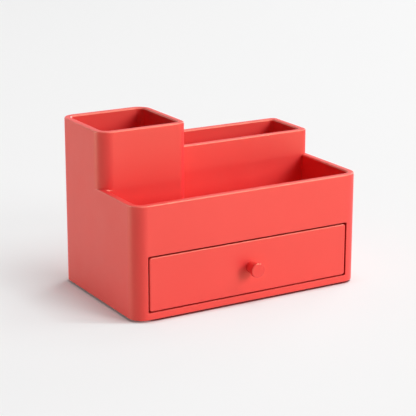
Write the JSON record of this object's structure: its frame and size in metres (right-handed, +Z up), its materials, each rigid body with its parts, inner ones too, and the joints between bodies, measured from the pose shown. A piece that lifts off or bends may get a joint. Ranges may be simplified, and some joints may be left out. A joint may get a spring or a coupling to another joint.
{
  "type": "desk organizer",
  "caption": "Moulded desk organizer: square pen cup at the rear left, narrow rear slot and L-shaped open tray above a full-width drawer with a round knob.",
  "frame": {"origin": "middle of the footprint (knob included) on the desk surface, under the feet", "axes": "+Z up; -Y out of the drawer's front; +X to the right of someone facing the drawer, along the width"},
  "size_m": [0.2, 0.135, 0.1343],
  "materials": {
    "coral_shell": "coral ABS with a fine satin moulded texture",
    "screw_steel": "zinc-plated steel",
    "foot_rubber": "matt black rubber"
  },
  "bodies": {
    "housing": {"housing": "coral_shell", "base_plate": "coral_shell", "base_screw_front_left": "screw_steel", "base_screw_front_right": "screw_steel", "base_screw_rear_left": "screw_steel", "base_screw_rear_right": "screw_steel", "foot_front_left": "foot_rubber", "foot_front_right": "foot_rubber", "foot_rear_left": "foot_rubber", "foot_rear_right": "foot_rubber"},
    "drawer": {"drawer": "coral_shell", "knob": "coral_shell", "knob_screw": "screw_steel"}
  },
  "joints": [
    {"name": "drawer_slide", "type": "slide", "parent": "housing", "child": "drawer", "axis": [0, -1, 0], "range_m": [0, 0.08]}
  ]
}
